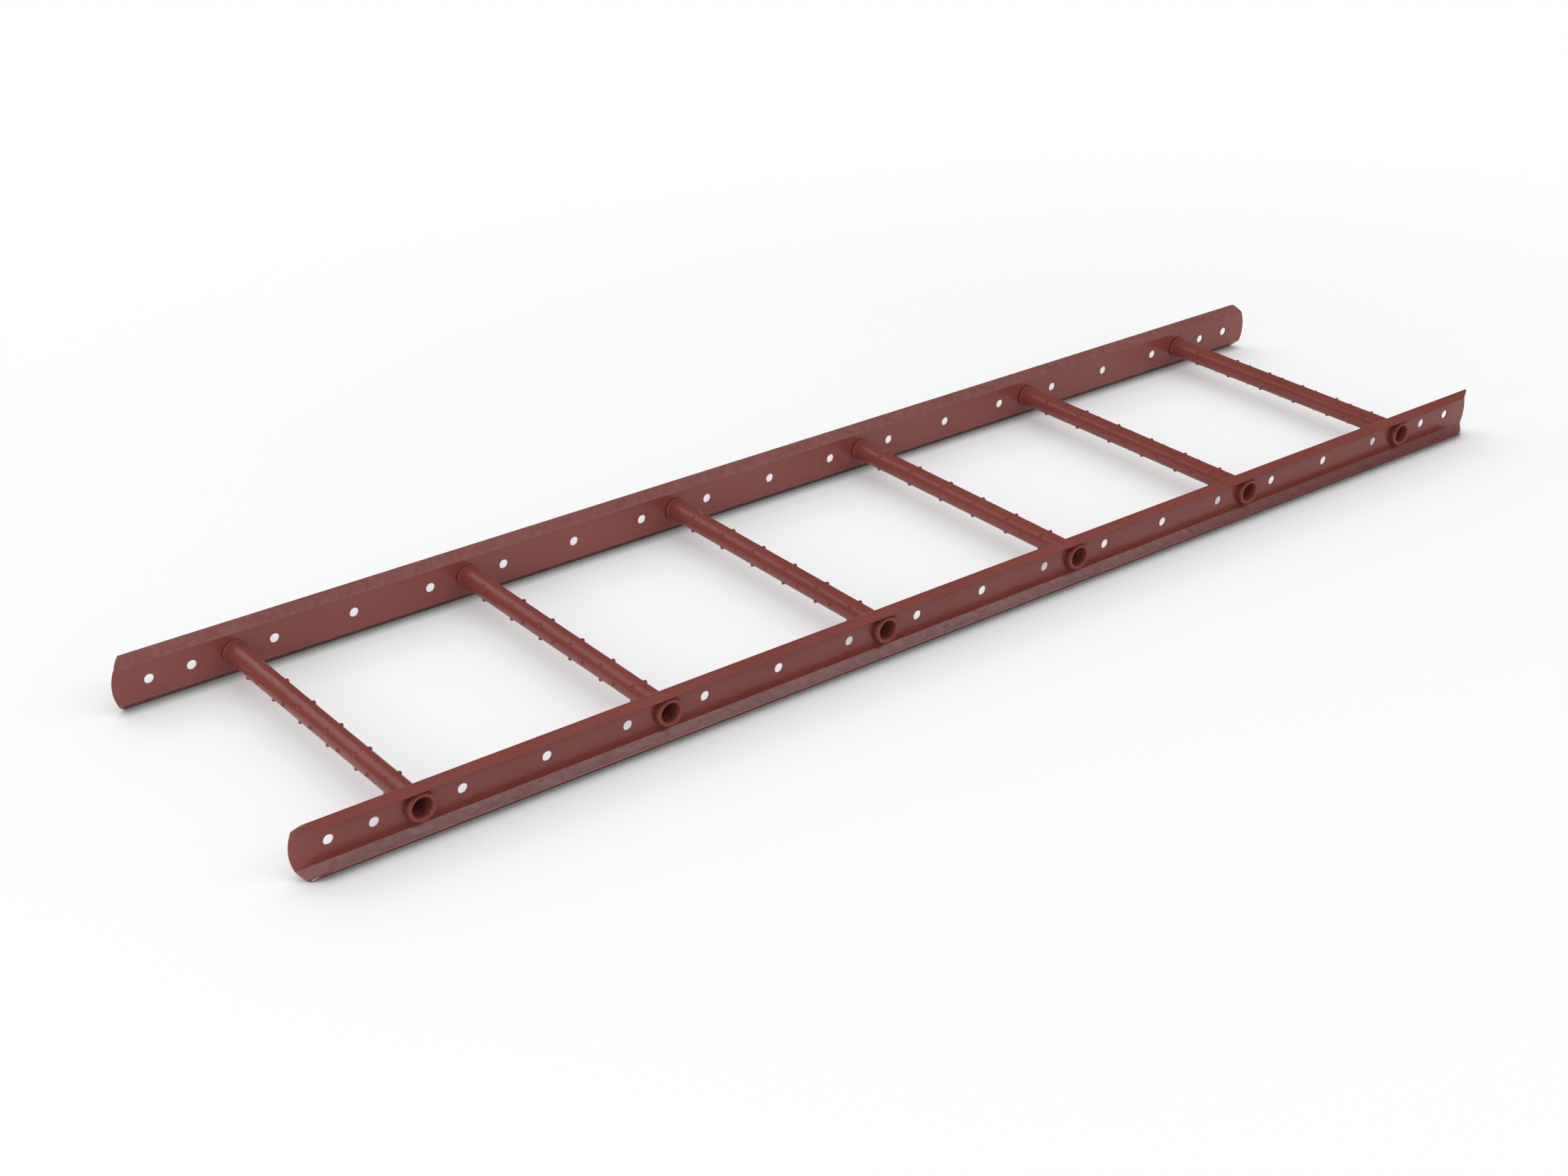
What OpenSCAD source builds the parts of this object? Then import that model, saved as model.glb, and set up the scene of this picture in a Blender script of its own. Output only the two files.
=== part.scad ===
// Ladder section of folded sheet side rails and round non-slip rungs swaged into them.
// It lies flat: X along the rails, Y across the ladder, Z up, origin on the
// underside at the middle.

/* [Ladder] */
// Number of rungs
rung_count = 6; // [2:1:8]
// Distance between neighbouring rungs, centre to centre
rung_pitch = 300; // [260:10:340]
// Clear width between the two rail webs
clear_width = 400; // [300:10:500]
// How far each rail runs on past the middle of its end rung
rail_overrun = 142.4; // [125:0.1:200]

/* [Side rail section] */
// Thickness of the rail sheet
sheet_t = 2; // [1.5:0.25:3]
// Overall height of the rail
rail_h = 65; // [58:1:75]
// Height of the upright web, between the corners of its two bends
web_h = 44; // [38:1:50]
// Slope of the flange above the horizontal
flange_slope = 47; // [35:1:60]
// Width of the return lip, from the flange's crest to the free edge
lip_w = 11.6; // [8:0.1:15]
// Inside radius of every bend in the rail
bend_r = 1; // [0.5:0.25:3]

/* [Side rail ends] */
// How far behind the rail's tip the straight free edge of the lip starts
end_setback = 36.3; // [30:0.1:50]
// Radius of the lip's rounded corner
lip_corner_r = 24; // [8:1:28]

/* [Rail holes] */
// Diameter of the fixing holes
hole_d = 11.5; // [8:0.5:14]
// Number of holes between two rungs
bay_holes = 3; // [1:1:3]
// Distance between the holes of a bay
bay_hole_pitch = 100; // [60:5:105]
// Distance of the end holes from each other and from the end rung
end_hole_pitch = 50; // [35:1:55]

/* [Rungs] */
// Outside diameter of the rung tube
rung_d = 25; // [20:0.5:30]
// Wall thickness of the rung tube
rung_wall = 1.5; // [1.25:0.25:2.5]
// Outside diameter of the bead that backs the web from inside the ladder
bead_d = 29.5; // [28:0.5:34]
// Width of that bead
bead_w = 4; // [2:0.25:4]
// Outside diameter of the rolled collar on the outer face of the web
collar_d = 34.6; // [30:0.2:38]
// How far the collar stands out from the web
collar_w = 8; // [5:0.5:10]
// Play between the tube and its hole in the web, on the radius
tube_play = 0.1; // [0.05:0.05:0.3]

/* [Non-slip dimples] */
// Rows of dimples around the rung
dimple_rows = 8; // [4:2:12]
// Distance between neighbouring rings of dimples, along the rung
dimple_step = 30; // [20:1:50]
// Closest that a dimple comes to the web
dimple_margin = 50; // [30:1:80]
// Height of a dimple above the tube
dimple_h = 2; // [1:0.1:3]
// Diameter of a dimple at its foot
dimple_d = 5.6; // [4:0.1:7]
// Diameter of a dimple at its tip
dimple_tip_d = 2.6; // [1.5:0.1:4]

/* [Hidden] */
rung_names = [for (i = [1:rung_count]) str("rung_", i)];
$fn = 64;
paint = [0.47, 0.28, 0.26];
cut = 1;                                             // how far a cutter overshoots
overlap = 0.1;                                       // of cutters that meet at a bend

// Along and across the ladder
rail_l = (rung_count - 1) * rung_pitch + 2 * rail_overrun;
mid_z = rail_h / 2;
web_y = clear_width / 2 + sheet_t / 2;               // middle of the web's sheet
function rung_x(i) = (i - (rung_count + 1) / 2) * rung_pitch;

// The rail's section: X outwards from the middle of the web's sheet, Y up. Its corners
// are the sharp ones of the sheet's middle line.
lip_turn = 90;                                       // the lip is folded square to the flange
web_turn = 90 - flange_slope;
web_heading = 90;
lip_heading = flange_slope - lip_turn;
mid_bend_r = bend_r + sheet_t / 2;
outer_bend_r = bend_r + sheet_t;
function along(heading) = [cos(heading), sin(heading)];
function outward(heading) = [-sin(heading), cos(heading)];
function reversed(v) = [for (k = [len(v) - 1:-1:0]) v[k]];
function below(v) = [for (p = v) [p[0], -p[1]]];
bend_steps = 7;                                      // flats that make up each bend
crest_top = outer_bend_r                             // above the centre of the crest's bend
            * max([for (k = [0:bend_steps]) cos(flange_slope - lip_turn * k / bend_steps)]);
crest_z = mid_z - crest_top + mid_bend_r * (sin(flange_slope) + cos(flange_slope));
flange_w = (crest_z - web_h / 2) / sin(flange_slope);
web_corner = [0, web_h / 2];
crest = web_corner + flange_w * along(flange_slope);
lip_edge = crest + lip_w * along(lip_heading);

// One skin of the sheet, d outside its middle line, from the lower lip to the upper
function bend_centre(p, a, b) = p - mid_bend_r * (outward(a) + outward(b)) / (1 + cos(a - b));
function bend(p, a, b, d) = [for (k = [0:bend_steps])
    bend_centre(p, a, b) + (mid_bend_r + d) * outward(a + (b - a) * k / bend_steps)];
function upper_skin(d) = concat(bend(web_corner, web_heading, flange_slope, d),
                                bend(crest, flange_slope, lip_heading, d),
                                [lip_edge + d * outward(lip_heading)]);
function skin(d) = concat(reversed(below(upper_skin(d))), upper_skin(d));

// The flat blank of the rail, measured across from its middle line. Its rounded end runs
// on into the lips' rounded corners.
blank_crest = web_h / 2 + flange_w;
blank_half = blank_crest + lip_w;
corner = [end_setback, blank_half - lip_corner_r];
end_r = (corner * corner - pow(lip_corner_r, 2)) / (2 * (end_setback - lip_corner_r));
corner_start = (corner - [end_r, 0]) / (end_r - lip_corner_r);
corner_end = [0, 1];
tuck = 0.1;                                          // so that the arcs cross, not touch

// Rung, measured along its own axis from its middle
bore_r = rung_d / 2 - rung_wall;
web_in = clear_width / 2;
web_out = web_in + sheet_t;
rung_end = web_out + collar_w;
roll_r = (collar_d / 2 - bore_r) / 2;                // the collar's edge is rolled to this radius
groove_w = bead_w / 3;                               // left open inside the folded bead
dimple_rings = floor((clear_width / 2 - dimple_margin) / dimple_step);
dimple_root = rung_wall / 2;                         // the dimple's foot is this deep in the wall

module rail_section()
    polygon(concat(skin(sheet_t / 2), reversed(skin(-sheet_t / 2))));

// What the rounded end takes off the flat blank: X back from the tip, Y across the blank
module blank_waste() {
    difference() {
        translate([-cut, -blank_half - cut]) square([end_r + cut, 2 * (blank_half + cut)]);
        translate([end_r, 0]) circle(r = end_r);
    }
    reach = 1.5 * lip_corner_r;
    for (side = [0, 1]) mirror([0, side])
        translate(corner + tuck * (corner_start + corner_end)) difference() {
            polygon([[0, 0], reach * corner_start, reach * (corner_start + corner_end),
                     reach * corner_end]);
            circle(r = lip_corner_r);
        }
}

// The same over one flat of the sheet, mitred at the bends with a slight overlap on its
// neighbours: X back from the tip, Y through the sheet, Z across the blank
module flat_waste(from, to, turn_from, turn_to) {
    d = outer_bend_r;
    start = from - overlap;
    end = to + overlap;
    mitre_start = d * tan(turn_from / 2);
    mitre_end = d * tan(turn_to / 2);
    intersection() {
        translate([-cut, 0, 0]) rotate([90, 0, 90]) linear_extrude(end_r + cut)
            polygon([[-d, start - mitre_start], [d, start + mitre_start],
                     [d, end - mitre_end], [-d, end + mitre_end]]);
        rotate([90, 0, 0]) linear_extrude(4 * d, center = true) blank_waste();
    }
}

// Swings what lies past s, measured across the blank, through a bend towards the channel
module folded(s, turn)
    translate([0, 0, s]) rotate([-turn, 0, 0]) translate([0, 0, -s]) children();

module end_waste() {
    flat_waste(-web_h / 2, web_h / 2, web_turn, web_turn);
    for (side = [0, 1]) mirror([0, 0, side]) folded(web_h / 2, web_turn) {
        flat_waste(web_h / 2, blank_crest, web_turn, lip_turn);
        folded(blank_crest, lip_turn) flat_waste(blank_crest, blank_half + cut, lip_turn, 0);
    }
}

module cross_hole(x, d)
    translate([x, 0, 0]) rotate([90, 0, 0]) cylinder(d = d, h = 4 * sheet_t, center = true);

module fixing_holes() {
    for (i = [1:rung_count - 1], k = [1:bay_holes])
        cross_hole((rung_x(i) + rung_x(i + 1)) / 2 + (k - (bay_holes + 1) / 2) * bay_hole_pitch, hole_d);
    for (side = [-1, 1], k = [1, 2])
        cross_hole(side * (rung_x(rung_count) + k * end_hole_pitch), hole_d);
}

// One rail about the middle of its web, with its flanges towards +Y
module side_rail()
    difference() {
        translate([-rail_l / 2, 0, 0]) rotate([90, 0, 90]) linear_extrude(rail_l) rail_section();
        for (side = [0, 1]) mirror([side, 0, 0]) translate([-rail_l / 2, 0, 0]) end_waste();
        fixing_holes();
        for (i = [1:rung_count]) cross_hole(rung_x(i), rung_d + 2 * tube_play);
    }

module side_rail_left()
    color(paint) translate([0, web_y, mid_z]) side_rail();

module side_rail_right()
    color(paint) translate([0, -web_y, mid_z]) rotate(180) side_rail();

// Half section of the rung: X is the radius, Y runs along the tube
module rung_section()
    difference() {
        union() {
            translate([0, -rung_end + roll_r]) square([rung_d / 2, 2 * (rung_end - roll_r)]);
            for (side = [0, 1]) mirror([0, side]) {
                translate([0, web_in - bead_w]) square([bead_d / 2 - bead_w / 2, bead_w]);
                translate([bead_d / 2 - bead_w / 2, web_in - bead_w / 2]) circle(d = bead_w);
                translate([0, web_out]) square([collar_d / 2, collar_w - roll_r]);
                translate([collar_d / 2 - roll_r, rung_end - roll_r]) circle(r = roll_r);
            }
        }
        translate([0, -rung_end - cut]) square([bore_r, 2 * (rung_end + cut)]);
        // the bead is pushed out from inside, so it leaves a groove in the bore
        for (side = [0, 1]) mirror([0, side])
            translate([0, web_in - bead_w / 2 - groove_w / 2])
                square([bead_d / 2 - rung_wall, groove_w]);
    }

// Rings of dimples, each ring turned by half a row against the last
module dimples()
    for (ring = [-dimple_rings:dimple_rings], row = [0:dimple_rows - 1])
        if ((ring + row) % 2 == 0)
            rotate(row * 360 / dimple_rows)
                translate([rung_d / 2 - dimple_root, 0, ring * dimple_step]) rotate([0, 90, 0])
                    cylinder(d1 = dimple_d, d2 = dimple_tip_d, h = dimple_h + dimple_root, $fn = 24);

module rung(i)
    color(paint) translate([rung_x(i), 0, mid_z]) rotate([-90, 0, 0]) {
        rotate_extrude() rung_section();
        dimples();
    }

side_rail_right();
side_rail_left();
for (i = [1:rung_count])
    rung(i);
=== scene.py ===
from math import atan2, cos, radians, sin, tan

import bmesh
import bpy
import numpy as np
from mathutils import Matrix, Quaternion, Vector


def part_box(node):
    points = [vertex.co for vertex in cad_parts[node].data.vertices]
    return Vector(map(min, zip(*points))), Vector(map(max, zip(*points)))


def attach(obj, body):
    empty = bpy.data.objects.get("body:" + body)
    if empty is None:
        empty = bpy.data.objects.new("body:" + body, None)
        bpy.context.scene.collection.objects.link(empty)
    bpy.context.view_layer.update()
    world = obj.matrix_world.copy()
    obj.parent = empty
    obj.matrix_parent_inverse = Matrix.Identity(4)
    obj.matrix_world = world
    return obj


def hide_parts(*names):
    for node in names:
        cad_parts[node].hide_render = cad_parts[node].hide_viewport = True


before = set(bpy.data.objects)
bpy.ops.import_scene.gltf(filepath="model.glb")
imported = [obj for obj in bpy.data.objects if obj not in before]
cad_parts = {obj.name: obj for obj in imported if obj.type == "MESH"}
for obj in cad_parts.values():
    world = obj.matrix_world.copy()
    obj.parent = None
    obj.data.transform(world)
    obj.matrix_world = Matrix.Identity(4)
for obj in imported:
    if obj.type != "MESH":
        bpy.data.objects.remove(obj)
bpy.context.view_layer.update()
print("frame loaded:", len(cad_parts), "pieces of the ladder")


# Node helpers: each adds one node, sets its inputs or links them, and returns its output

def feed(tree, socket, value):
    if isinstance(value, bpy.types.NodeSocket):
        tree.links.new(value, socket)
    else:
        socket.default_value = value


def addMath(tree, operation, *values):
    node = tree.nodes.new("ShaderNodeMath")
    node.operation = operation
    for value, socket in zip(values, node.inputs):
        feed(tree, socket, value)
    return node.outputs[0]


# A value's place between start and end, carried over to between low and high, straight
# or as a smooth step
def addRange(tree, value, start, end, low=0.0, high=1.0, smooth=False):
    node = tree.nodes.new("ShaderNodeMapRange")
    node.interpolation_type = "SMOOTHSTEP" if smooth else "LINEAR"
    tree.links.new(value, node.inputs["Value"])
    node.inputs["From Min"].default_value = start
    node.inputs["From Max"].default_value = end
    node.inputs["To Min"].default_value = low
    node.inputs["To Max"].default_value = high
    return node.outputs["Result"]


def addColourMix(tree, share, first, second):
    node = tree.nodes.new("ShaderNodeMix")
    node.data_type = "RGBA"
    for name, value in (("Factor", share), ("A", first), ("B", second)):
        feed(tree, node.inputs[name], value)
    return node.outputs["Result"]


def addShaderMix(tree, share, first, second):
    node = tree.nodes.new("ShaderNodeMixShader")
    for value, socket in zip((share, first, second), node.inputs):
        tree.links.new(value, socket)
    return node.outputs[0]


# Camera and light

cameraSetup = {
    "place": (-1.6769, -1.9621, 1.2718),  # from the middle of the ladder's footprint
    "heading": 38.175,                    # degrees from +Y towards +X
    "dip": 27.055,                        # degrees below the horizon
    "lens": 53.778,
    "sensor": 36.0,
    "reach": 50.0,
}


def addCamera(setup):
    data = bpy.data.cameras.new("viewCamera")
    data.lens = setup["lens"]
    data.sensor_width = setup["sensor"]
    data.clip_end = setup["reach"]
    camera = bpy.data.objects.new("viewCamera", data)
    camera.location = setup["place"]
    camera.rotation_euler = (radians(90 - setup["dip"]), 0, radians(-setup["heading"]))
    bpy.context.scene.collection.objects.link(camera)
    bpy.context.scene.camera = camera


skySetup = {
    "light": 0.95,     # its strength on the ladder
    "inGloss": 0.07,   # in the ladder's reflections
    "seen": 1.0,       # for the camera, where 1 is white
}


# A plain sky with one strength for each of the three
def addSky(light, inGloss, seen):
    world = bpy.data.worlds.new("studioSky")
    world.use_nodes = True
    tree = world.node_tree
    tree.nodes.clear()
    out = tree.nodes.new("ShaderNodeOutputWorld")
    path = tree.nodes.new("ShaderNodeLightPath")
    skies = []
    for strength in (light, inGloss, seen):
        sky = tree.nodes.new("ShaderNodeBackground")
        sky.inputs["Color"].default_value = (1, 1, 1, 1)
        sky.inputs["Strength"].default_value = strength
        skies.append(sky.outputs[0])
    unseen = addShaderMix(tree, path.outputs["Is Glossy Ray"], skies[0], skies[1])
    whole = addShaderMix(tree, path.outputs["Is Camera Ray"], unseen, skies[2])
    tree.links.new(whole, out.inputs["Surface"])
    bpy.context.scene.world = world


lampSetup = {
    "leftBack": {"place": (-1.25, 3.44, 2.61), "size": (3.2, 1.3), "turn": 0, "power": 17.5},
    "rightFront": {"place": (1.96, -3.02, 2.91), "size": (3.2, 0.8), "turn": -26, "power": 18.5},
    "overhead": {"place": (-0.5, -1.3, 4.2), "size": (2.0, 1.6), "turn": 0, "power": 6},
    "leftSpark": {"place": (-3.6, -1.4, 1.25), "size": (0.8, 0.5), "turn": 0, "power": 17},
}


# A lamp that shines on the ladder's middle, turned about its own beam
def addLamp(name, place, size, turn, power):
    data = bpy.data.lights.new(name, "AREA")
    data.shape = "RECTANGLE"
    data.size, data.size_y = size
    data.energy = power
    lamp = bpy.data.objects.new(name, data)
    lamp.location = place
    beam = (-Vector(place)).to_track_quat("-Z", "Y")
    lamp.rotation_euler = (beam @ Quaternion((0, 0, 1), radians(turn))).to_euler()
    bpy.context.scene.collection.objects.link(lamp)


addCamera(cameraSetup)
addSky(**skySetup)
for lampName, lamp in lampSetup.items():
    addLamp(lampName, **lamp)
bpy.context.scene.view_settings.view_transform = "Standard"
print("camera and lights placed")


# Mesh helpers

samePlace = 1e-9     # places closer than this are one line of a grid
mergeWithin = 1e-6   # corners closer than this are merged


def addPiece(name, points, faces):
    mesh = bpy.data.meshes.new(name)
    mesh.from_pydata(np.asarray(points).tolist(), [], np.asarray(faces).tolist())
    mesh.update()
    piece = bpy.data.objects.new(name, mesh)
    bpy.context.scene.collection.objects.link(piece)
    return piece


def mergeAndTurnOut(piece):
    work = bmesh.new()
    work.from_mesh(piece.data)
    bmesh.ops.remove_doubles(work, verts=work.verts, dist=mergeWithin)
    bmesh.ops.recalc_face_normals(work, faces=work.faces)
    work.to_mesh(piece.data)
    work.free()
    piece.data.polygons.foreach_set("use_smooth", np.ones(len(piece.data.polygons), bool))
    piece.data.update()


# Quads of a grid of rows by columns, each from its four corner numbers. A closed
# direction also joins its last line to its first.
def gridQuads(numbers, closeRows=False, closeColumns=False):
    if closeRows:
        numbers = np.vstack([numbers, numbers[:1]])
    if closeColumns:
        numbers = np.hstack([numbers, numbers[:, :1]])
    corners = [numbers[:-1, :-1], numbers[:-1, 1:], numbers[1:, 1:], numbers[1:, :-1]]
    return np.stack(corners, -1).reshape(-1, 4)


# Floor: one wide triangle, so that no edge of a face runs under the ladder

floorSetup = {
    "corners": [(-60, -35, 0), (60, -35, 0), (0, 70, 0)],
    "open": (0.877, 0.89, 0.89),
    "foot": (0.030, 0.033, 0.033),  # painted shade: the floor's colour right under the ladder
    "paintedShadeReach": 0.015,             # how near the ladder has to be for the painted shade to darken the floor
    "paintedShadeSamples": 8,
    "roughness": 0.9,
    "shine": 0.1,
    "oval": (1.35, 0.95),           # half axes along and across the ladder
    "whiteFrom": 0.75,              # of the oval
    "whiteTo": 1.6,
    "nearWhite": 0.10,              # white seen over the shadows by the ladder
    "dimInGloss": (0.10, 0.85),     # near and far, so that the paint isn't washed out
}


# Pale floor that keeps the ladder's shadow and turns to plain white for the camera further
# out: the white is a smooth step of the distance from the middle, measured in the oval.
# Close under the ladder a painted shade deepens the floor's colour, by how much of it the ladder
# covers.
# In the paint's reflections it is dimmed, by a straight share of the same distance.
def floorMaterial(setup):
    mat = bpy.data.materials.new("paleFloor")
    mat.use_nodes = True
    tree = mat.node_tree
    shader = tree.nodes["Principled BSDF"]
    shader.inputs["Roughness"].default_value = setup["roughness"]
    shader.inputs["Specular IOR Level"].default_value = setup["shine"]

    # painted shade: the floor's colour darkens towards the foot colour by the ladder's occlusion
    # over it
    cover = tree.nodes.new("ShaderNodeAmbientOcclusion")
    cover.samples = setup["paintedShadeSamples"]
    cover.inputs["Distance"].default_value = setup["paintedShadeReach"]
    foot, plain = (*setup["foot"], 1), (*setup["open"], 1)
    shade = addColourMix(tree, cover.outputs["AO"], foot, plain)

    coord = tree.nodes.new("ShaderNodeTexCoord")
    oval = tree.nodes.new("ShaderNodeMapping")
    oval.inputs["Scale"].default_value = (1 / setup["oval"][0], 1 / setup["oval"][1], 1)
    far = tree.nodes.new("ShaderNodeVectorMath")
    far.operation = "LENGTH"
    tree.links.new(coord.outputs["Object"], oval.inputs["Vector"])
    tree.links.new(oval.outputs["Vector"], far.inputs[0])
    distance = (far.outputs["Value"], setup["whiteFrom"], setup["whiteTo"])

    path = tree.nodes.new("ShaderNodeLightPath")
    dim = addRange(tree, *distance, *setup["dimInGloss"])
    dim = addMath(tree, "MULTIPLY", dim, path.outputs["Is Glossy Ray"])
    colour = addColourMix(tree, dim, shade, (0, 0, 0, 1))
    tree.links.new(colour, shader.inputs["Base Color"])

    white = tree.nodes.new("ShaderNodeEmission")
    white.inputs["Color"].default_value = (1, 1, 1, 1)
    share = addRange(tree, *distance, setup["nearWhite"], smooth=True)
    share = addMath(tree, "MULTIPLY", share, path.outputs["Is Camera Ray"])
    surface = addShaderMix(tree, share, shader.outputs[0], white.outputs[0])
    tree.links.new(surface, tree.nodes["Material Output"].inputs["Surface"])
    return mat


floor = addPiece("floor", floorSetup["corners"], [(0, 1, 2)])
floor.data.materials.append(floorMaterial(floorSetup))


# Side rails: a flat blank with its holes and rounded ends, folded to its section and then
# given its thickness

railSetup = {
    "sheet": 0.002,
    "webHeight": 0.044,          # between the sharp corners of the sheet's middle line
    "flangeSlope": 47,           # degrees above the horizontal
    "lipWidth": 0.0116,
    "bendRadius": 0.001,         # inside
    "endSetback": 0.0363,        # from the tip to where the lip's free edge starts
    "cornerRadius": 0.024,       # of the lip's corner
    "holeRadius": 0.00575,
    "rungHoleRadius": 0.0126,
    "bayHoles": (-0.100, 0, 0.100),
    "endHoles": (0.050, 0.100),  # from the end rung
    "patchHalf": 0.016,          # half the square round each hole
    "patchSteps": 8,
    "patchRings": (0, 0.25, 0.6),  # from the hole towards its square
    "bendSteps": 8,
    "besideBend": 0.0004,        # lines this far beside a bend keep the flats flat
    "flangeRows": 4,
    "lipRows": 5,
    "cornerRows": 10,
    "tipColumns": 6,
    "edgeRadius": 0.00012,
    "edgeSegments": 2,
    "edgeTurn": 50,              # degrees from which an edge is sharp enough to be rounded
}

rungNames = sorted(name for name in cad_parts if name.startswith("rung_"))
rungPlaces = np.array([sum(corner.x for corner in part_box(name)) / 2 for name in rungNames])
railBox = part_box("side_rail_left")
railTip = railBox[1].x
railMiddle = (railBox[0].z + railBox[1].z) / 2
railHeight = railBox[1].z - railBox[0].z
webPlace = railBox[0].y + railSetup["sheet"] / 2


# Radius of the bends in the middle of the sheet, and how far from its corner the web's
# bend starts. The crest's bend is square, so it starts its radius away.
def bendSizes(setup):
    bend = setup["bendRadius"] + setup["sheet"] / 2
    return bend, bend * tan((radians(90) - radians(setup["flangeSlope"])) / 2)


# The lines that fold the blank: how far across it the two corners and the free edge lie
def blankLines(setup):
    slope = radians(setup["flangeSlope"])
    bend = bendSizes(setup)[0]
    crestUp = railHeight / 2 - bend - setup["sheet"] / 2 + bend * (sin(slope) + cos(slope))
    webCorner = setup["webHeight"] / 2
    crest = webCorner + (crestUp - webCorner) / sin(slope)
    return webCorner, crest, crest + setup["lipWidth"]


# Position through one bend: the arc of the bend's radius that touches the flat before it
# and the flat after it, at an equal share of its turn for an equal share of the way
def throughBend(share, start, heading, turn, bend):
    centre = (start[0] + bend * sin(heading), start[1] - bend * cos(heading))
    angle = heading - turn * share
    return centre[0] - bend * np.sin(angle), centre[1] + bend * np.cos(angle)


# A place across the blank, carried to the folded section: straight up the web, round the
# web's bend, up the flange, round the crest, and down the lip. Below the middle it is
# the same upside down.
def foldSheet(across, setup):
    webCorner, crest, _ = blankLines(setup)
    bend, webLeg = bendSizes(setup)
    slope, square = radians(setup["flangeSlope"]), radians(90)
    s = np.abs(across)
    flange, lip = s - webCorner, s - crest
    topOut = (crest - webCorner) * cos(slope)
    topUp = webCorner + (crest - webCorner) * sin(slope)
    webStart = (0.0, webCorner - webLeg)
    topStart = (topOut - bend * cos(slope), topUp - bend * sin(slope))
    webShare = (s - webCorner + webLeg) / (2 * webLeg)
    topShare = (s - crest + bend) / (2 * bend)
    webArc = throughBend(webShare, webStart, square, square - slope, bend)
    topArc = throughBend(topShare, topStart, slope, square, bend)
    ends = (webCorner - webLeg, webCorner + webLeg, crest - bend, crest + bend)
    zones = [s <= end for end in ends]
    out = np.select(zones, [0 * s, webArc[0], flange * cos(slope), topArc[0]],
                    topOut + lip * cos(slope - square))
    up = np.select(zones, [s, webArc[1], webCorner + flange * sin(slope), topArc[1]],
                   topUp + lip * sin(slope - square))
    return out, np.sign(across) * up


# The blank's rounded end is one big arc, tangent to the arc of the lip's corner, which is
# tangent to the free edge: the big radius, where the corner's centre lies back from the
# tip and across, and where across the two arcs meet
def endArcs(setup):
    r = setup["cornerRadius"]
    back, side = setup["endSetback"], blankLines(setup)[2] - r
    big = (back * back + side * side - r * r) / (2 * (back - r))
    return big, back, side, side * big / (big - r)


# How far back from the tip that end starts, for a place across the blank
def blankEnd(across, setup):
    big, back, side, joint = endArcs(setup)
    r = setup["cornerRadius"]
    s = np.abs(across)
    bigArc = big - np.sqrt(np.maximum(big * big - s * s, 0))
    cornerArc = back - np.sqrt(np.maximum(r * r - (s - side) ** 2, 0))
    return np.where(s > joint, cornerArc, bigArc)


# Lines across the blank, from its middle outwards: the square round the holes, both bends,
# and the lip with closer lines round its corner
def blankRows(setup):
    webCorner, crest, _ = blankLines(setup)
    _, _, side, joint = endArcs(setup)
    bend, webLeg = bendSizes(setup)
    r, beside = setup["cornerRadius"], setup["besideBend"]
    square = setup["patchHalf"] * np.linspace(0, 1, setup["patchSteps"] // 2 + 1)
    webBend = webCorner + webLeg * np.linspace(-1, 1, setup["bendSteps"] + 1)
    flange = np.linspace(webCorner + webLeg + beside, crest - bend - beside, setup["flangeRows"])
    crestBend = crest + bend * np.linspace(-1, 1, setup["bendSteps"] + 1)
    lip = np.linspace(crest + bend + beside, joint, setup["lipRows"])
    start = np.arcsin((joint - side) / r)
    corner = side + r * np.sin(np.linspace(start, radians(90), setup["cornerRows"] + 1)[1:])
    web = [webCorner - webLeg - beside]
    half = np.concatenate([square, web, webBend, flange, crestBend, lip, corner])
    return np.concatenate([-half[:0:-1], half])


def holePlaces(setup):
    bays = (rungPlaces[:-1] + rungPlaces[1:]) / 2
    plain = (bays[:, None] + np.array(setup["bayHoles"])).ravel()
    end = rungPlaces[-1] + np.array(setup["endHoles"])
    plain = np.concatenate([plain, -end, end])
    places = np.concatenate([plain, rungPlaces])
    radii = np.concatenate([np.full(len(plain), setup["holeRadius"]),
                            np.full(len(rungPlaces), setup["rungHoleRadius"])])
    order = np.argsort(places)
    return places[order], radii[order]


# Lines along the blank: nine over the square round each hole, one between two squares, and
# a few to the tip
def blankColumns(places, setup):
    half = setup["patchHalf"]
    square = half * np.linspace(-1, 1, setup["patchSteps"] + 1)
    between = (places[1:] + places[:-1]) / 2
    tip = np.linspace(places[-1] + half, railTip, setup["tipColumns"] + 1)[1:]
    return np.sort(np.concatenate([(places[:, None] + square).ravel(), between, tip, -tip]))


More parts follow.
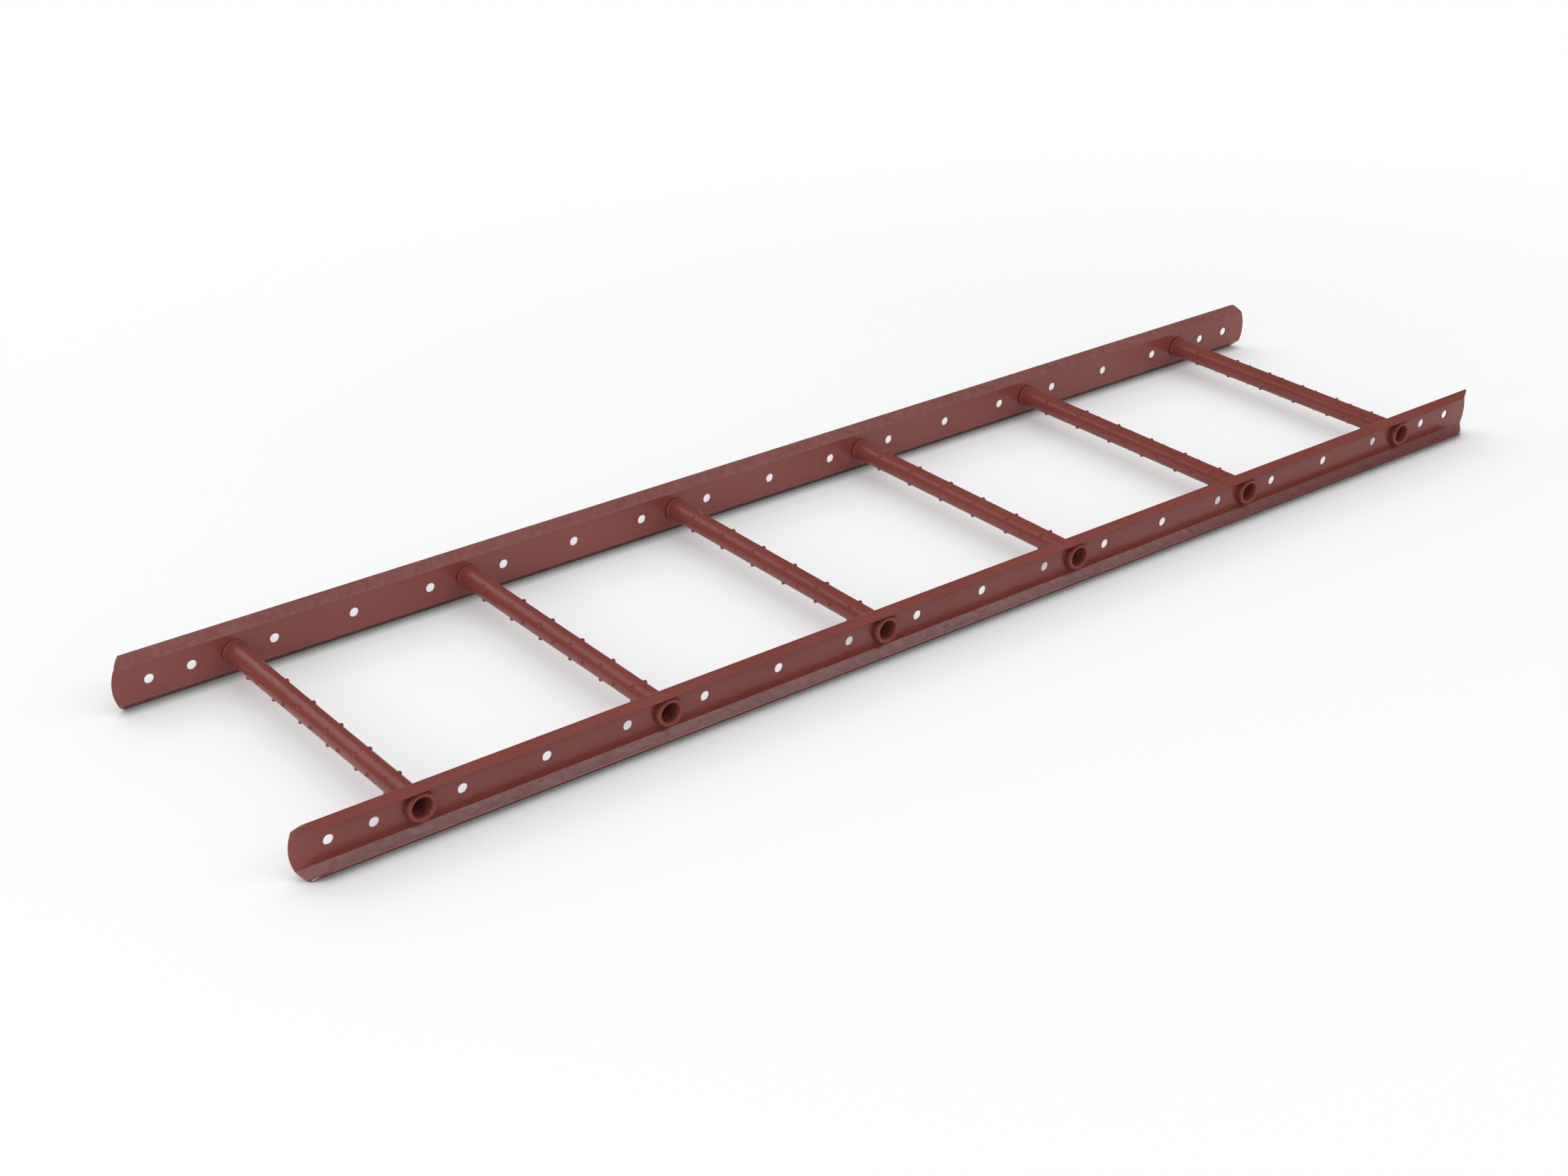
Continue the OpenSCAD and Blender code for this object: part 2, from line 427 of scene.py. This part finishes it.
# The flat blank as a grid, with a ring of quads from each square to its hole: a ring point
# lies between the square's edge and the circle at an equal angle
def flatBlank(setup):
    places, radii = holePlaces(setup)
    rows, columns = blankRows(setup), blankColumns(places, setup)
    half, steps = setup["patchHalf"], setup["patchSteps"]
    numbers = np.arange(len(rows) * len(columns)).reshape(len(rows), len(columns))
    along, across = np.meshgrid(columns, rows)
    # behind the rounded end the lines close up, less so inside the squares
    beyond = np.where(np.abs(across) > half + samePlace, -half, half)
    start = places[-1] + beyond
    share = np.clip((np.abs(along) - start) / (railTip - start), 0, 1)
    along = along - np.sign(along) * share * blankEnd(across, setup)
    points = np.stack([along.ravel(), across.ravel()], -1)
    quads = gridQuads(numbers)

    # the quads of the squares give way to the rings
    rowMiddle = (rows[:-1] + rows[1:]) / 2
    columnMiddle = (columns[:-1] + columns[1:]) / 2
    overHole = (np.abs(columnMiddle[:, None] - places) < half).any(-1)
    inSquare = overHole[None, :] & (np.abs(rowMiddle) < half)[:, None]
    quads = quads[~inSquare.ravel()]

    # once round each square, from its lowest corner, as numbers of the grid
    firstRow = int(np.argmin(np.abs(rows + half)))
    firstColumns = np.searchsorted(columns, places - half - samePlace)
    k = np.arange(steps)
    walkRow = np.concatenate([0 * k, k, 0 * k + steps, steps - k])
    walkColumn = np.concatenate([k, 0 * k + steps, steps - k, 0 * k])
    rim = numbers[firstRow + walkRow[None, :], firstColumns[:, None] + walkColumn[None, :]]
    angle = radians(-135) + np.arange(4 * steps) * radians(360) / (4 * steps)
    centre = np.stack([places, 0 * places], -1)[:, None, :]
    circle = centre + radii[:, None, None] * np.stack([np.cos(angle), np.sin(angle)], -1)
    shares = np.array(setup["patchRings"])[None, :, None, None]
    rings = circle[:, None] + shares * (points[rim] - circle)[:, None]
    ringNumbers = len(points) + np.arange(rings[..., 0].size).reshape(rings.shape[:3])
    stacked = np.concatenate([ringNumbers, rim[:, None, :]], 1)
    ringQuads = np.concatenate([gridQuads(hole, closeColumns=True) for hole in stacked])

    points = np.concatenate([points, rings.reshape(-1, 2)])
    quads = np.concatenate([quads, ringQuads[:, ::-1]])
    used, quads = np.unique(quads, return_inverse=True)
    return points[used], quads.reshape(-1, 4)


def addRail(name, side, setup):
    blank, quads = flatBlank(setup)
    out, up = foldSheet(blank[:, 1], setup)
    points = np.stack([blank[:, 0], side * (webPlace + out), railMiddle + up], -1)
    piece = addPiece(name, points, quads)
    mergeAndTurnOut(piece)
    wall = piece.modifiers.new("thickness", "SOLIDIFY")
    wall.thickness = setup["sheet"]
    wall.offset = 0
    wall.use_even_offset = True
    edge = piece.modifiers.new("edges", "BEVEL")
    edge.width = setup["edgeRadius"]
    edge.segments = setup["edgeSegments"]
    edge.limit_method = "ANGLE"
    edge.angle_limit = radians(setup["edgeTurn"])
    edge.use_clamp_overlap = False
    edge.harden_normals = True
    return piece


rails = {name: addRail(name + "_sheet", side, railSetup)
         for name, side in (("side_rail_right", -1), ("side_rail_left", 1))}
print("side rails folded")


# Rungs: one closed section turned about the tube, with the dimples raised from it

rungSetup = {
    "radius": 0.0125,
    "wall": 0.0015,
    "beadTop": 0.01475,      # radius over the bead inside the web
    "beadWidth": 0.004,
    "beadGap": 0.0006,       # of that width, open between the bead and the web
    "beadFoot": 0.0002,      # fillet from the tube up to the bead
    "collar": 0.0173,        # radius over the rolled collar outside the web
    "collarWidth": 0.008,
    "collarEdge": 0.0006,    # radius of its edge at the web
    "collarPlay": 0.00002,   # between the collar and the web
    "grooveRound": 0.0014,   # radius of the groove's inner edge
    "grooveEdge": 0.0003,    # and of its others
    "arcSteps": 8,           # of a quarter turn
    "arcSpare": 0.00001,     # by which two arcs that would meet fall short of each other
    "plainFrom": 0.165,      # place along of the first line past the dimples
    "plainBore": 0.15,       # and of the innermost line in the bore
    "dimpleRows": 8,
    "dimpleStep": 0.030,
    "dimpleRings": 5,        # to each side of the middle one
    "dimpleHeight": 0.002,
    "dimpleFoot": 0.0029,    # radius
    "dimpleTip": 0.0011,
    "dimpleSoft": 0.3,       # share of a smooth step in its slope, the rest is straight
    "dimpleMargin": 1.1,     # times the foot: where the close lines end
    "linesAlong": 17,        # over one dimple
    "linesRound": 15,
    "linesBetween": 3,       # two dimples, along and round
}


# A chain of straight lines with its corners rounded: at each corner an arc of the given
# radius that touches both lines, in equal steps
def roundedPath(corners, radii, steps):
    parts = []
    for before, here, after, r in zip(corners[:-2], corners[1:-1], corners[2:], radii[1:-1]):
        here = np.array(here)
        into = here - before
        onward = np.array(after) - here
        into = into / np.hypot(*into)
        onward = onward / np.hypot(*onward)
        if r == 0:
            parts.append(here[None])
            continue
        turn = atan2(into[0] * onward[1] - into[1] * onward[0], into @ onward)
        leg = r * tan(abs(turn) / 2)
        normal = np.array([-into[1], into[0]]) * np.sign(turn)
        count = max(2, int(round(steps * abs(turn) / radians(90)))) + 1
        angle = np.linspace(0, abs(turn), count)[:, None]
        parts.append(here - leg * into + r * (np.sin(angle) * into + (1 - np.cos(angle)) * normal))
    return np.concatenate([np.array([corners[0]])] + parts + [np.array([corners[-1]])])


# Close lines over each dimple of a row or ring, from one margin to the other, and wider
# ones between two dimples
def dimpleLines(count, step, margin, close, wide):
    near = np.linspace(-margin, margin, close)
    gap = np.linspace(margin, step - margin, wide + 2)[1:-1]
    return (np.arange(count)[:, None] * step + np.concatenate([near, gap])).ravel()


# Half of the rung's section, radius and place along the tube, from the last dimple
# outwards and back through the bore
def rungSection(webIn, webOut, setup):
    r, bore = setup["radius"], setup["radius"] - setup["wall"]
    bead, collar = setup["beadTop"], setup["collar"]
    beadStart, beadEnd = webIn - setup["beadWidth"], webIn - setup["beadGap"]
    collarStart, collarEnd = webOut + setup["collarPlay"], webOut + setup["collarWidth"]
    beadRound = (beadEnd - webIn + setup["beadWidth"]) / 2 - setup["arcSpare"]
    roll = (collar - bore) / 2 - setup["arcSpare"]
    grooveTop, groove = bead - setup["wall"], setup["beadWidth"] / 3
    grooveMiddle = webIn - setup["beadWidth"] / 2
    grooveStart, grooveEnd = grooveMiddle - groove / 2, grooveMiddle + groove / 2
    edge = setup["grooveEdge"]
    path = [  # radius, place along, radius of the rounding there
        (r, setup["plainFrom"], 0),
        (r, beadStart, setup["beadFoot"]),
        (bead, beadStart, beadRound),
        (bead, beadEnd, beadRound),
        (r, beadEnd, 0),
        (r, collarStart, 0),
        (collar, collarStart, setup["collarEdge"]),
        (collar, collarEnd, roll),
        (bore, collarEnd, roll),
        (bore, grooveEnd, edge),
        (grooveTop, grooveEnd, edge),
        (grooveTop, grooveStart, edge),
        (bore, grooveStart, setup["grooveRound"]),
        (bore, setup["plainBore"], 0),
    ]
    corners = [(out, along) for out, along, _ in path]
    return roundedPath(corners, [rounding for _, _, rounding in path], setup["arcSteps"])


# Height of the dimples over the tube: each is a cone with a slightly rounded tip and foot,
# on every second crossing of the rings and rows. From its foot to its tip the height is a
# straight share of the way in, mixed with a smooth step of that share.
def dimpleHeight(along, angle, setup):
    foot, tip, soft = setup["dimpleFoot"], setup["dimpleTip"], setup["dimpleSoft"]
    rowTurn = radians(360) / setup["dimpleRows"]
    row = np.round(angle / rowTurn)
    ring = np.round(along / setup["dimpleStep"])
    here = ((row + ring) % 2 == 0) & (np.abs(ring) <= setup["dimpleRings"])
    fromRow = setup["radius"] * (angle - row * rowTurn)
    distance = np.hypot(fromRow, along - ring * setup["dimpleStep"])
    share = np.clip((foot - distance) / (foot - tip), 0, 1)
    rise = (1 - soft) * share + soft * share * share * (3 - 2 * share)
    return np.where(here, setup["dimpleHeight"] * rise, 0)


# The section turned about the tube's middle line, at an angle for each line round it
def addRung(name, place, setup):
    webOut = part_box(name)[1].y - setup["collarWidth"]
    webIn = webOut - railSetup["sheet"]
    half = rungSection(webIn, webOut, setup)
    step, rings, between = setup["dimpleStep"], setup["dimpleRings"], setup["linesBetween"]
    margin = setup["dimpleMargin"] * setup["dimpleFoot"]
    lines = dimpleLines(2 * rings + 1, step, margin, setup["linesAlong"], between) - rings * step
    lines = lines[lines < -lines[0] + samePlace]
    tube = np.stack([np.full(len(lines), setup["radius"]), lines], -1)
    section = np.concatenate([tube, half, half[::-1] * (1, -1)])
    rows, rowTurn = setup["dimpleRows"], radians(360) / setup["dimpleRows"]
    turn = dimpleLines(rows, rowTurn, margin / setup["radius"], setup["linesRound"], between)
    along, angle = np.meshgrid(section[:, 1], turn, indexing="ij")
    radius = np.repeat(section[:, :1], len(turn), 1)
    onTube = (np.arange(len(section)) < len(tube))[:, None]
    radius = radius + onTube * dimpleHeight(along, angle, setup)
    out, up = radius * np.cos(angle), radius * np.sin(angle)
    points = np.stack([place + out, along, railMiddle + up], -1)
    numbers = np.arange(along.size).reshape(along.shape)
    piece = addPiece(name + "_tube", points.reshape(-1, 3), gridQuads(numbers, True, True))
    mergeAndTurnOut(piece)
    return piece


rungs = {name: addRung(name, place, rungSetup) for name, place in zip(rungNames, rungPlaces)}
print("rungs turned, with their dimples")


# Paint: satin red-brown oxide on steel. The colour drifts slowly over the surface and
# is a little paler where the coat is thin, the gloss drifts with a finer noise, and the
# bump is the flow of a sprayed coat, wide and shallow, with its orange peel over it.
# On the rails' flanges a pale painted reflection, in soft clouds, lies over the colour.

paintSetup = {
    "deep": (0.185, 0.041, 0.031),
    "pale": (0.215, 0.051, 0.039),
    "paleRange": (0.45, 0.95),     # of the drift, from deep to pale
    "drift": 9.0,                  # noise scales, per metre
    "speck": 160.0,
    "speckShare": 0.35,
    "gloss": (0.18, 0.26),         # roughness
    "glossCloud": 160.0 / 3,
    "glossRange": (0.3, 0.7),      # of its noise
    "railShine": 0.5,              # how strongly the paint mirrors, 0.5 is plain
    "rungShine": 0.3,
    "flow": 90.0,
    "flowDepth": 0.00032,
    "peel": 900.0,
    "peelDepth": 0.00002,
    "paintedReflection": (0.36, 0.33, 0.33),    # painted reflection: pale, in soft clouds on the rails' flanges
    "paintedReflectionCloud": 125.0,
    "paintedReflectionRange": (0.35, 0.65),     # of its noise
    "paintedReflectionShare": (0.07, 0.15),
    "paintedReflectionFade": 0.0006,            # half the width of its edges
}


# Where the painted reflection lies, from 0 to 1: on the sheet beyond the web's corners, by height
# from the rail's middle, and short of the crest, by distance from the ladder's middle line
def flangeShare(tree, coord, fade):
    webCorner, crest, _ = blankLines(railSetup)
    crestPlace = webPlace + (crest - webCorner) * cos(radians(railSetup["flangeSlope"]))
    split = tree.nodes.new("ShaderNodeSeparateXYZ")
    tree.links.new(coord, split.inputs[0])
    height = addMath(tree, "SUBTRACT", split.outputs["Z"], railMiddle)
    height = addMath(tree, "ABSOLUTE", height)
    width = addMath(tree, "ABSOLUTE", split.outputs["Y"])
    beyondWeb = addRange(tree, height, webCorner - 2 * fade, webCorner, smooth=True)
    beyondCrest = addRange(tree, width, crestPlace - fade, crestPlace + fade, smooth=True)
    shortOfCrest = addMath(tree, "SUBTRACT", 1.0, beyondCrest)
    return addMath(tree, "MULTIPLY", beyondWeb, shortOfCrest)


def paintMaterial(name, setup, shine, withPaintedReflection):
    mat = bpy.data.materials.new(name)
    mat.use_nodes = True
    tree = mat.node_tree
    shader = tree.nodes["Principled BSDF"]
    coord = tree.nodes.new("ShaderNodeTexCoord").outputs["Object"]

    def noise(scale, detail):
        node = tree.nodes.new("ShaderNodeTexNoise")
        node.inputs["Scale"].default_value = scale
        node.inputs["Detail"].default_value = detail
        tree.links.new(coord, node.inputs["Vector"])
        return node.outputs["Fac"]

    def bump(scale, detail, depth, under=None):
        node = tree.nodes.new("ShaderNodeBump")
        node.inputs["Distance"].default_value = depth
        tree.links.new(noise(scale, detail), node.inputs["Height"])
        if under:
            tree.links.new(under, node.inputs["Normal"])
        return node.outputs["Normal"]

    speck, drift = noise(setup["speck"], detail=4), noise(setup["drift"], detail=3)
    ramp = tree.nodes.new("ShaderNodeValToRGB")
    for element, position, shade in zip(ramp.color_ramp.elements, setup["paleRange"],
                                        (setup["deep"], setup["pale"])):
        element.position = position
        element.color = (*shade, 1)
    thin = addMath(tree, "MULTIPLY_ADD", speck, setup["speckShare"], drift)
    tree.links.new(thin, ramp.inputs["Fac"])
    colour = ramp.outputs["Color"]
    # painted reflection: pale clouds mixed into the colour of the rails' flanges
    if withPaintedReflection:
        cloud = noise(setup["paintedReflectionCloud"], detail=4)
        cloud = addRange(tree, cloud, *setup["paintedReflectionRange"], *setup["paintedReflectionShare"])
        where = flangeShare(tree, coord, setup["paintedReflectionFade"])
        share = addMath(tree, "MULTIPLY", cloud, where)
        colour = addColourMix(tree, share, colour, (*setup["paintedReflection"], 1))
    tree.links.new(colour, shader.inputs["Base Color"])

    gloss = noise(setup["glossCloud"], detail=3)
    gloss = addRange(tree, gloss, *setup["glossRange"], *setup["gloss"])
    tree.links.new(gloss, shader.inputs["Roughness"])
    shader.inputs["Specular IOR Level"].default_value = shine

    flow = bump(setup["flow"], 2, setup["flowDepth"])
    peel = bump(setup["peel"], 2, setup["peelDepth"], under=flow)
    tree.links.new(peel, shader.inputs["Normal"])
    return mat


railPaint = paintMaterial("railPaint", paintSetup, paintSetup["railShine"], withPaintedReflection=True)
rungPaint = paintMaterial("rungPaint", paintSetup, paintSetup["rungShine"], withPaintedReflection=False)
print("paint mixed")

for nodes, paint, slot in ((rails, railPaint, "rail_paint"), (rungs, rungPaint, "rung_paint")):
    for node, piece in nodes.items():
        piece.data.materials.append(paint)
        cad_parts[node].data.materials.clear()
        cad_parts[node].data.materials.append(paint)
        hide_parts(node)
        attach(piece, "root")

bpy.context.view_layer.update()
